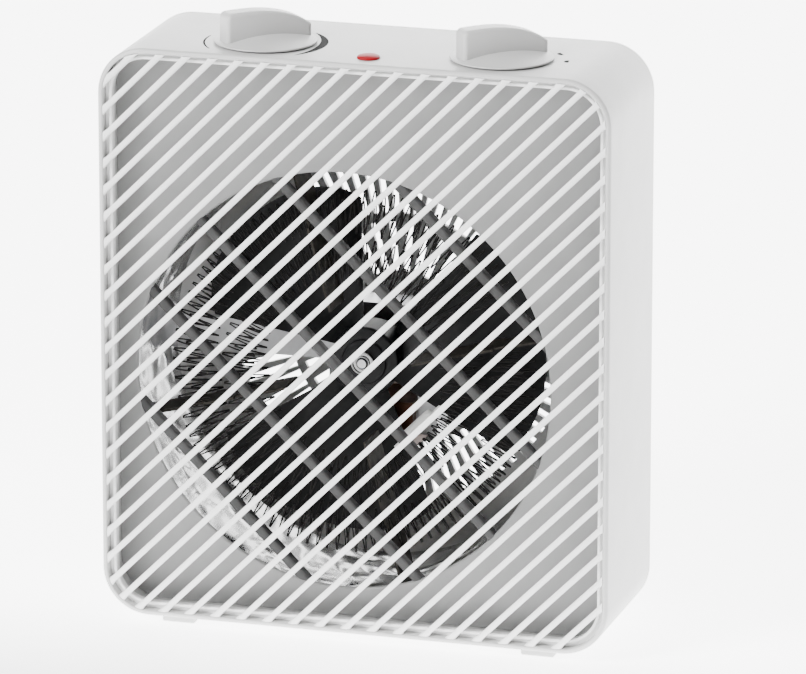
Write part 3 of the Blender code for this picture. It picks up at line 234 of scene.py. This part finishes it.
def piece(name, grids, finish, body, nodes=(), sharp=38, rods=None):
    """One mesh from grids of (points, round_rows, round_columns); points may be a stack of equal grids."""
    points, faces, start = [], [], 0
    for grid, round_rows, round_columns in grids:
        grid = grid if grid.ndim == 4 else grid[None]
        count, rows, columns, _ = grid.shape
        cells = quads(rows, columns, round_rows, round_columns)
        offsets = start + np.arange(count)[:, None, None] * rows * columns
        faces.append((cells[None] + offsets).reshape(-1, 4))
        points.append(grid.reshape(-1, 3))
        start += count * rows * columns
    mesh = bpy.data.meshes.new(name)
    mesh.from_pydata(np.concatenate(points).tolist(), [], np.concatenate(faces).tolist())
    built = bmesh.new()
    built.from_mesh(mesh)
    bmesh.ops.remove_doubles(built, verts=built.verts, dist=0.000002)
    bmesh.ops.dissolve_degenerate(built, edges=built.edges, dist=0.000001)
    bmesh.ops.recalc_face_normals(built, faces=built.faces)
    built.to_mesh(mesh)
    built.free()
    mesh.shade_smooth()
    mesh.set_sharp_from_angle(angle=math.radians(sharp))
    mesh.materials.append(FINISHES[finish])
    obj = bpy.data.objects.new(name, mesh)
    bpy.context.scene.collection.objects.link(obj)
    if rods is not None:
        punch(obj, rods)
    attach(obj, body)
    if nodes:
        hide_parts(*nodes)
    return obj


def capped(grid):
    """The grid with one more row at each end, drawn together to that end's middle."""
    ends = grid.mean(-2, keepdims=True)
    first = np.broadcast_to(ends[..., :1, :, :], grid[..., :1, :, :].shape)
    last = np.broadcast_to(ends[..., -1:, :, :], grid[..., :1, :, :].shape)
    return np.concatenate([first, grid, last], -3)


def arc(centre, radius, start, end, steps):
    """Points of a circular arc in a plane, angles in degrees."""
    turn = np.radians(np.linspace(start, end, steps))
    return np.stack([centre[0] + radius * np.cos(turn), centre[1] + radius * np.sin(turn)], -1)


def case_ring(profile, steps=20):
    """A profile of (inset, depth) carried round the rounded rectangle: each point keeps its inset from it."""
    profile = np.asarray(profile)
    turn = np.radians(np.concatenate([np.linspace(a, a + 90, steps) for a in (-90, 0, 90, 180)]))
    centre_x = np.repeat([HALF - CORNER, HALF - CORNER, CORNER - HALF, CORNER - HALF], steps)
    centre_z = np.repeat([BASE + CORNER, TOP - CORNER, TOP - CORNER, BASE + CORNER], steps)
    reach = CORNER - profile[:, 0]
    x = centre_x[:, None] + reach * np.cos(turn)[:, None]
    z = centre_z[:, None] + reach * np.sin(turn)[:, None]
    y = np.broadcast_to(FRONT + profile[:, 1], x.shape)
    return np.stack([x, y, z], -1)


def turned(profile, centre, steps=64, forward=False):
    """A profile of (radius, height) carried round an upright axis, or round one that points forwards."""
    profile = np.asarray(profile)
    turn = np.linspace(0, 2 * np.pi, steps, endpoint=False)[:, None]
    across, beside = profile[:, 0] * np.cos(turn), profile[:, 0] * np.sin(turn)
    rise = np.broadcast_to(profile[:, 1], across.shape)
    if forward:
        made = np.stack([across, -rise, beside], -1)
    else:
        made = np.stack([across, beside, rise], -1)
    return made + np.asarray(centre)


def inside_case(x, z, inset):
    """Signed distance from the rounded rectangle moved in by inset; below zero is inside."""
    radius = CORNER - inset
    over_x = np.abs(x) - (HALF - inset - radius)
    over_z = np.abs(z - MIDDLE) - ((TOP - BASE) / 2 - inset - radius)
    outside = np.hypot(np.maximum(over_x, 0), np.maximum(over_z, 0))
    return outside + np.minimum(np.maximum(over_x, over_z), 0) - radius


def case_reach(offset, sign, inset):
    """Distance along a 45 degree line, at this offset, to the outline: found by halving the interval."""
    start = np.sign(offset) * ((TOP - BASE) / 2 - HALF) / math.sqrt(2)
    near, far = start + 0 * offset, start + sign * 0.30
    for _ in range(40):
        middle = (near + far) / 2
        x = (middle - offset) / math.sqrt(2)
        z = MIDDLE + (middle + offset) / math.sqrt(2)
        within = inside_case(x, z, inset) < 0
        near, far = np.where(within, middle, near), np.where(within, far, middle)
    return near


# ---- casing ----
def case_shell():
    """Two arcs join the outer wall to the inner one, all round the outline; four posts stand behind."""
    outer = arc((0.0015, 0.0015), 0.0015, 180, 270, 8)
    inner = arc((WALL - 0.0006, 0.0006), 0.0006, -90, 0, 5)
    rear = arc((0.0006, CASE_DEPTH - 0.0006), 0.0006, 90, 180, 5)
    section = np.concatenate([outer, inner, [[WALL, CASE_DEPTH]], rear])
    grids = [(case_ring(section), True, True)]
    post = [(0.0, -0.0207), (POST_RADIUS, -0.0207), (POST_RADIUS, -0.1072), (POST_BORE, -0.1072)]
    post += [(POST_BORE, -0.0965), (0.0, -0.0965)]
    for x in (-HALF + POST_INSET, HALF - POST_INSET):
        for z in (BASE + POST_INSET, TOP - POST_INSET):
            grids.append((turned(post, (x, FRONT, z), 24, forward=True), True, False))
    return piece("case_shell", grids, "white_plastic", "casing", ["front_case"])


def slat_section(width, depth, rounding, steps=5):
    """Half-round front corners on a straight-sided bar, as (offset, depth) from back left to back right."""
    half = width / 2
    left = arc((-half + rounding, rounding), rounding, 180, 270, steps)
    right = arc((half - rounding, rounding), rounding, 270, 360, steps)
    return np.concatenate([[[-half * 0.92, depth]], left, right, [[half * 0.92, depth]]])


def grille():
    """Bars along 45 degree lines: each edge line ends where it meets the outline, and swells at its ends."""
    inset = WALL + GRILLE_GAP
    limit = (HALF + (TOP - BASE) / 2) / math.sqrt(2) - CORNER * (math.sqrt(2) - 1) - 0.0022
    numbers = np.arange(-30, 31)
    offsets = numbers * SLAT_PITCH + SLAT_SHIFT
    offsets = offsets[np.abs(offsets) < limit]
    section = slat_section(SLAT_WIDTH, SLAT_DEPTH, 0.0011)
    runs = np.array([0.0, 0.0004, 0.0009, 0.0016, 0.0026, 0.0040])
    swell = 1 + 0.35 * np.exp(-runs / 0.0010)
    swell = np.concatenate([swell, [1.0], swell[::-1]])
    spread = offsets[:, None, None] + swell[None, :, None] * section[None, None, :, 0]
    low, high = case_reach(spread, -1, inset), case_reach(spread, 1, inset)
    length = high - low
    share = np.minimum(runs[None, :, None], 0.4 * length[:, :6])
    middle = (low[:, 6:7] + high[:, 6:7]) / 2
    along = np.concatenate([low[:, :6] + share, middle, high[:, 7:] - share[:, ::-1]], 1)
    x = (along - spread) / math.sqrt(2)
    z = MIDDLE + (along + spread) / math.sqrt(2)
    y = FRONT + np.broadcast_to(section[None, None, :, 1], x.shape)
    slats = capped(np.stack([x, y, z], -1))
    round_off, crest = 0.0005, GROOVE_FLOOR - 0.0011
    ridge = np.concatenate([
        arc((LEDGE + round_off, crest), round_off, 180, 270, 4),
        arc((LEDGE + LEDGE_WIDTH - round_off, crest), round_off, 270, 360, 4),
        [[LEDGE + LEDGE_WIDTH, LEDGE_BACK], [inset, LEDGE_BACK]],
        [[inset, GROOVE_FLOOR], [LEDGE, GROOVE_FLOOR]],
    ])
    grids = [(slats, False, True), (case_ring(ridge), True, True)]
    # The slats take the lighter copy of the white plastic, which is painted light.
    return piece("diagonal_grille", grids, "grille_white_painted_light", "casing", ["front_grille"])


def plate():
    """Radial lines run from the round outlet, whose rim rolls back on an arc, to the rounded rectangle."""
    turn = np.linspace(0, 2 * np.pi, 288, endpoint=False)
    across, upwards = np.cos(turn), np.sin(turn)
    near, far = np.full(turn.shape, 0.05), np.full(turn.shape, 0.30)
    for _ in range(36):
        middle = (near + far) / 2
        within = inside_case(AXIS[0] + middle * across, AXIS[1] + middle * upwards, WALL + 0.0003) < 0
        near, far = np.where(within, middle, near), np.where(within, far, middle)
    front, rear = plate_low.y, plate_high.y - 0.0032
    rim = arc((OPENING + 0.0011, 0.0011), 0.0011, 180, 270, 7)
    rows = [(OPENING, rear)] + [(radius, front + depth) for radius, depth in rim]
    radii = [np.full(turn.shape, radius) for radius, _ in rows]
    radii += [near * 0.5 + OPENING * 0.5, near, near, near * 0.3 + OPENING * 0.7]
    depths = [y for _, y in rows] + [front, front, rear, rear]
    radii, depths = np.array(radii).T, np.broadcast_to(depths, (len(turn), len(depths)))
    points = np.stack([AXIS[0] + radii * across[:, None], depths, AXIS[1] + radii * upwards[:, None]], -1)
    grids = [(points, True, True)]
    return piece("outlet_plate", grids, "grey_plate", "casing", ["baffle_plate"])


def guard():
    """Straight bars behind the slats and across them: each edge line ends on the outlet's circle."""
    section = slat_section(BAR_WIDTH, 0.0045, 0.0012)
    offsets = (np.arange(BAR_COUNT) - (BAR_COUNT - 1) / 2) * BAR_PITCH + BAR_SHIFT
    spread = offsets[:, None, None] + section[None, None, :, 0]
    chord = np.sqrt(np.maximum((OPENING + 0.0006) ** 2 - spread ** 2, 0.0))
    along = chord * np.linspace(-1, 1, 9)[None, :, None]
    x = AXIS[0] + (spread + along) / math.sqrt(2)
    z = AXIS[1] + (spread - along) / math.sqrt(2)
    y = plate_low.y + 0.0002 + np.broadcast_to(section[None, None, :, 1], x.shape)
    bars = capped(np.stack([x, y, z], -1))
    grids = [(bars, False, True)]
    return piece("guard_bars", grids, "guard_grey", "casing", ["baffle_plate"])


# ---- heater drum ----
def drum():
    """A thin cylinder whose radius swells by a sum of sines round it and along it; three rods punch it."""
    turn = np.linspace(0, 2 * np.pi, 288, endpoint=False)[:, None]
    along = np.linspace(0, 1, 40)
    inner_radius = OPENING + DRUM_GAP
    ripple = np.sin(11 * turn + 9 * along) + 0.8 * np.sin(23 * turn - 14 * along)
    ripple = 0.00010 * (ripple + np.sin(5 * turn + 21 * along)) + 0.0003
    front, rear = drum_low.y, drum_high.y
    outer = np.full((len(turn), 2), inner_radius + DRUM_SKIN)
    radii = np.concatenate([inner_radius + ripple, outer], 1)
    depth = np.concatenate([front + (rear - front) * along, [rear, front]])
    y = np.broadcast_to(depth, radii.shape)
    points = np.stack([AXIS[0] + radii * np.cos(turn), y, AXIS[1] + radii * np.sin(turn)], -1)
    near, far = inner_radius + 0.0006, inner_radius + 0.0028
    flange = [(near, 0.0), (far, 0.0), (far, DRUM_SKIN), (near, DRUM_SKIN)]
    lip = turned(flange, (AXIS[0], rear, AXIS[1]), 96, forward=True)
    angles = np.radians(-47 + 5.5 * np.arange(3))[:, None, None]
    lap = np.linspace(0, 2 * np.pi, 24, endpoint=False)[None, None, :]
    reach = np.array([OPENING - 0.004, OPENING + 0.005])[None, :, None]
    x = AXIS[0] + reach * np.cos(angles) - PUNCH_RADIUS * np.cos(lap) * np.sin(angles)
    z = AXIS[1] + reach * np.sin(angles) + PUNCH_RADIUS * np.cos(lap) * np.cos(angles)
    y = front + PUNCH_DEPTH + PUNCH_RADIUS * np.sin(lap) + 0 * x
    rods = capped(np.stack([x, y, z], -1))
    grids = [(points, True, True), (lip, True, True)]
    return piece(
        "wavy_drum", grids, "wavy_sheet", "casing", ["reflector_drum"], rods=rods)


def tube(path, radius, sides=6):
    """Circles of one radius standing across a path, at each of its points."""
    ahead = np.roll(path, -1, 0) - np.roll(path, 1, 0)
    ahead[0], ahead[-1] = path[1] - path[0], path[-1] - path[-2]
    ahead /= np.linalg.norm(ahead, axis=1)[:, None]
    aside = np.cross(ahead, [0.0, 1.0, 0.0])
    aside /= np.linalg.norm(aside, axis=1)[:, None]
    over = np.cross(ahead, aside)
    turn = np.linspace(0, 2 * np.pi, sides, endpoint=False)[None, :, None]
    return path[:, None] + radius * (np.cos(turn) * aside[:, None] + np.sin(turn) * over[:, None])


def element(name, node, depth, teeth):
    """Zigzag wires: the radius swings to and fro as a rounded triangle wave of the angle."""
    grids = []
    for centre, count in zip(TRACKS, teeth):
        share = np.linspace(0, 1, count * 10 + 1)
        start, end = math.radians(29), math.radians(372)
        angle = start + (end - start) * share
        swing = 2 / np.pi * np.arcsin(0.97 * np.sin(2 * np.pi * count * share)) * 1.18
        radius = centre + TRACK_HALF * swing
        drift = 0.0010 * np.sin(2 * np.pi * share * 9) + 0.0006 * np.sin(2 * np.pi * count * share + 1.2)
        y = FRONT + depth + drift
        path = np.stack([AXIS[0] + radius * np.cos(angle), y, AXIS[1] + radius * np.sin(angle)], -1)
        grids.append((capped(tube(path, WIRE)), False, True))
    return piece(name, grids, "resistance_wire", "casing", [node])


def fuse():
    """Sleeve with pinched ends, turned about its own line across the slats' direction."""
    bearing, out = math.radians(-37), 0.037
    middle = np.array([AXIS[0] + out * math.cos(bearing), FRONT + 0.0356, AXIS[1] + out * math.sin(bearing)])
    along = np.array([1.0, 0.0, 1.0]) / math.sqrt(2)
    aside, over = np.array([0.0, 1.0, 0.0]), np.array([-1.0, 0.0, 1.0]) / math.sqrt(2)
    half = 0.009
    lead = half + 0.006
    right = [(0.0006, lead), (0.0006, half + 0.0004), (0.0019, half), (0.0025, half - 0.0008)]
    right += [(0.0027, half - 0.0022)]
    left = [(radius, -height) for radius, height in right[::-1]]
    profile = np.array([(0.0, lead)] + right + left + [(0.0, -lead)])
    turn = np.linspace(0, 2 * np.pi, 28, endpoint=False)[:, None, None]
    ring = np.cos(turn) * aside + np.sin(turn) * over
    points = middle + profile[None, :, :1] * ring + profile[None, :, 1:] * along
    grids = [(points, True, False)]
    return piece("fuse_sleeve", grids, "ceramic_sleeve", "casing", ["thermal_fuse"])


# ---- fan ----
def fan_wheel():
    """A stepped hub turned on the axis, and three wide blades: angle and depth rise together along each."""
    profile = [(HUB_BORE, 0.0), (0.0097, 0.0), (0.0101, -0.0003), (0.0103, -0.0012), (0.0143, -0.0012)]
    profile += [(0.0150, -0.0015), (0.0155, -0.0021), (HUB, -0.0030), (HUB, -0.0180), (HUB_BORE, -0.0180)]
    grids = [(turned(profile, (AXIS[0], HUB_FRONT, AXIS[1]), 72, forward=True), True, True)]
    share = np.linspace(0, 1, 40)[:, None]
    reach = np.linspace(0, 1, 24)[None, :]
    for number in range(3):
        trim = 1 - 0.10 * np.abs(2 * share - 1) ** 4
        radius = (HUB - 0.001) + (BLADE_TIP - HUB) * reach * trim
        angle = FAN_TURN + math.radians(120 * number) + (share - 0.5) * BLADE_ARC
        depth = 0.0090 + (share - 0.5) * BLADE_SWEEP + 0.0010 * np.sin(np.pi * share) * reach
        faces = []
        for side in (-0.0005, 0.0005):
            y = HUB_FRONT + depth + side * (1 - 0.5 * np.abs(2 * share - 1) ** 6) + 0 * reach
            x, z = AXIS[0] + radius * np.cos(angle), AXIS[1] + radius * np.sin(angle)
            faces.append(np.stack([x, y, z], -1))
        wrap = np.concatenate([faces[0], faces[1][:, ::-1]], 1)
        grids.append((capped(wrap), False, True))
    return piece("fan_wheel", grids, "black_plastic", "fan_assembly", ["fan"], sharp=45)


def clip_ring():
    """A pressed washer with a rolled inner and outer edge, turned on the axis."""
    inner = arc((0.0029, -0.0006), 0.0004, 180, 20, 6)
    edge = arc((0.0049, -0.0006), 0.0005, 160, -20, 7)
    profile = np.concatenate([[[0.0023, -0.0018]], inner, [[0.0034, -0.0012], [0.0043, -0.0012]], edge])
    profile = np.concatenate([profile, [[0.0054, -0.0018]]])
    grids = [(turned(profile, (AXIS[0], CLIP_FRONT, AXIS[1]), 56, forward=True), True, True)]
    return piece("clip_ring", grids, "bright_metal", "fan_assembly", ["fan_clip"])


# ---- top controls ----
def knob(name, node, body):
    """A domed skirt turned on the spindle, and a fin whose crest is two ellipse arcs joined at its peak."""
    low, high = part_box(node)
    x, y, base = (low.x + high.x) / 2, (low.y + high.y) / 2, low.z
    share = np.linspace(1, 0, 18)
    rise = KNOB_RIM + (KNOB_CROWN - KNOB_RIM) * (1 - share ** 2)
    dome = np.stack([KNOB_RADIUS * share * 0.99, rise], -1)
    edge = arc((KNOB_RADIUS - 0.0004, 0.0005), 0.0004, -60, 60, 6)
    profile = np.concatenate([[[0.0033, 0.0001], [KNOB_RADIUS - 0.0010, 0.0]], edge, dome])
    skirt = turned(profile, (x, y, base), 96)
    half_length = FIN_LENGTH / 2
    part = np.linspace(0, 1, 60)
    fall = np.where(part > FIN_PEAK, 0.78, 1.20)
    ridge = (high.z - low.z) * np.sqrt(1 - ((part - FIN_PEAK) / fall) ** 2)
    nose = arc((-half_length + 0.0026, ridge[0] - 0.0024), 0.0026, 180, 98, 10)
    tail = arc((half_length - 0.0016, ridge[-1] - 0.0004), 0.0016, 40, 0, 6)
    keepers = (part > 0.07) & (part < 0.96)
    top = np.stack([FIN_LENGTH * (part[keepers] - 0.5), ridge[keepers]], -1)
    feet = [[-half_length, KNOB_RIM]], [[half_length, KNOB_RIM]]
    outline = np.concatenate([feet[0], nose, top, tail, feet[1]])
    middle = np.array([0.0, 0.0050])
    steps = np.gradient(outline, axis=0)
    normal = np.stack([-steps[:, 1], steps[:, 0]], -1)
    normal /= np.linalg.norm(normal, axis=1)[:, None]
    normal *= np.sign(((outline - middle) * normal).sum(1))[:, None]
    bend = np.radians(np.linspace(0, 90, 8))
    inset = FIN_ROUND * (1 - np.sin(bend))
    insets = np.concatenate([inset, inset[::-1]])
    step = FIN_HALF - FIN_ROUND * (1 - np.cos(bend))
    y_steps = np.concatenate([-step, step[::-1]])
    shell = outline[:, None] - normal[:, None] * insets[None, :, None]
    ys = np.broadcast_to(y_steps, shell.shape[:2])
    foot_left, foot_right = shell[:, 0].copy(), shell[:, -1].copy()
    foot_left[:, 1] = foot_right[:, 1] = KNOB_RIM
    shell = np.concatenate([foot_left[:, None], shell, foot_right[:, None]], 1)
    ys = np.concatenate([ys[:, :1], ys, ys[:, -1:]], 1)
    fin = np.stack([
        x + shell[..., 0] * math.cos(KNOB_TURN) - ys * math.sin(KNOB_TURN),
        y + shell[..., 0] * math.sin(KNOB_TURN) + ys * math.cos(KNOB_TURN),
        base + shell[..., 1],
    ], -1)
    grids = [(skirt, True, False), (fin, False, True)]
    return piece(f"{name}_knob_cap", grids, "white_plastic", body, [node])


def lens():
    """A low dome turned about its stem."""
    low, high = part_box("lamp_lens")
    x, y = (low.x + high.x) / 2, (low.y + high.y) / 2
    radius = (high.x - low.x) / 2
    lift = np.linspace(0, 1, 14) * np.pi / 2
    brim, seat = TOP + 0.0004, TOP + 0.0001
    dome = np.stack([radius * np.sin(lift), brim + (high.z - brim) * np.cos(lift) ** 0.8], -1)
    stem = [[radius, seat], [LENS_STEM, seat], [LENS_STEM, low.z], [0.0, low.z]]
    grids = [(turned(np.concatenate([dome, stem]), (x, y, 0), 48), True, False)]
    return piece("lamp_dome", grids, "red_lens", "casing", ["lamp_lens"])


def print_marks():
    """Inked marks as thin arcs round the knobs: outer radius fixed, inner radius swelling as a sine."""
    grids = []
    raised, sunk = TOP + 0.00003, TOP - 0.00007
    marks = (
        ("thermostat_knob", -46, 55, 0.0272, 0.0036, True),
        ("thermostat_knob", 170, 223, 0.0271, 0.0009, False),
        ("mode_knob", 31, 40, 0.0275, 0.0022, False),
        ("mode_knob", 3, 11, 0.0290, 0.0022, False),
    )
    share = np.linspace(0, 1, 40)
    for node, start, end, outer, width, tapers in marks:
        low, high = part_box(node)
        x, y = (low.x + high.x) / 2, (low.y + high.y) / 2
        angle = np.radians(start + (end - start) * share)
        swell = np.sin(np.pi * share)
        thick = width * (swell ** 0.8 if tapers else 0.35 + 0.65 * swell ** 0.5)
        far, near = np.full(share.shape, outer), outer - thick - 0.00002
        rows = []
        for height, radius in ((raised, far), (raised, near), (sunk, near), (sunk, far)):
            level = np.full(share.shape, height)
            rows.append(np.stack([x + radius * np.cos(angle), y + radius * np.sin(angle), level], -1))
        grids.append((capped(np.stack(rows, 1)), False, True))
    return piece("print_marks", grids, "print_ink", "casing")


case_shell()
grille()
guard()
plate()
drum()
element("zigzag_front", "element_low", 0.0267, (74, 106))
element("zigzag_rear", "element_high", 0.0445, (78, 112))
fuse()
fan_wheel()
clip_ring()
knob("thermostat", "thermostat_knob", "thermostat_control")
knob("mode", "mode_knob", "mode_control")
lens()
print_marks()

# ---- frame nodes that stay in view ----
slots = {row["node"]: row["material_slot"] for row in frame["record"]["subparts"]}
for node_name, obj in frame["nodes"].items():
    if obj.hide_render:
        continue
    obj.data.materials.clear()
    obj.data.materials.append(FINISHES[slots[node_name]])


# ---- floor, light and camera ----
def floor():
    """A wide sheet whose far edge curls up on an arc; it glows more from the heater backwards."""
    across = np.linspace(-6, 6, 9)
    flat = np.stack([np.linspace(-6, 5, 12), np.full(12, 0.0)], -1)
    curl = arc((5.0, 1.5), 1.5, -90, 0, 12)[1:]
    line = np.concatenate([flat, curl, [[6.5, 6.0]]])
    beside = np.broadcast_to(across[:, None], (len(across), len(line)))
    points = np.stack([beside, line[:, 0] + 0 * beside, line[:, 1] + 0 * beside], -1)
    mesh = bpy.data.meshes.new("studio_floor")
    mesh.from_pydata(points.reshape(-1, 3).tolist(), [], quads(len(across), len(line)).tolist())
    mesh.shade_smooth()
    made = bpy.data.materials.new("studio_white")
    made.use_nodes = True
    tree = made.node_tree
    shader = tree.nodes["Principled BSDF"]
    shader.inputs["Base Color"].default_value = (0.93, 0.93, 0.93, 1)
    shader.inputs["Roughness"].default_value = 0.9
    shader.inputs["Emission Color"].default_value = (1, 1, 1, 1)
    place = tree.nodes.new("ShaderNodeTexCoord")
    apart = tree.nodes.new("ShaderNodeSeparateXYZ")
    glow = tree.nodes.new("ShaderNodeMapRange")
    glow.interpolation_type = "SMOOTHSTEP"
    for key, value in {"From Min": -0.22, "From Max": 0.0, "To Min": 1.2, "To Max": 5.6}.items():
        glow.inputs[key].default_value = value
    tree.links.new(place.outputs["Object"], apart.inputs["Vector"])
    tree.links.new(apart.outputs["Y"], glow.inputs["Value"])
    tree.links.new(glow.outputs["Result"], shader.inputs["Emission Strength"])
    mesh.materials.append(made)
    obj = bpy.data.objects.new("studio_floor", mesh)
    bpy.context.scene.collection.objects.link(obj)


def softbox(name, place, aim, width, height, power):
    """A rectangular soft light at a place, facing a point."""
    data = bpy.data.lights.new(name, "AREA")
    data.shape = "RECTANGLE"
    data.size, data.size_y, data.energy = width, height, power
    obj = bpy.data.objects.new(name, data)
    obj.location = place
    obj.rotation_euler = (Vector(aim) - Vector(place)).to_track_quat("-Z", "Y").to_euler()
    bpy.context.scene.collection.objects.link(obj)
    return obj


floor()
world = bpy.data.worlds.new("studio")
world.use_nodes = True
sky = world.node_tree.nodes["Background"]
sky.inputs["Color"].default_value = (1.0, 1.0, 1.0, 1)
sky.inputs["Strength"].default_value = 0.35
bpy.context.scene.world = world
softbox("key", (-1.9, -2.4, 1.9), (0, 0, 0.13), 1.2, 1.2, 250)
softbox("overhead", (0.4, -0.2, 2.6), (0, 0, 0.1), 1.6, 1.4, 25)
softbox("backlight", (0.3, 3.0, 1.4), (0, 0.5, 0), 3.0, 1.6, 30)

camera = bpy.data.cameras.new("camera")
camera.sensor_fit = "HORIZONTAL"
camera.sensor_width = 36.0
camera.lens = 335.53
camera.clip_end = 60.0
camera_object = bpy.data.objects.new("camera", camera)
camera_object.location = (0.9195, -3.0327, 1.0324)
camera_object.rotation_euler = (math.pi / 2 - 0.27921, 0.0, 0.29252)
bpy.context.scene.collection.objects.link(camera_object)
bpy.context.scene.camera = camera_object
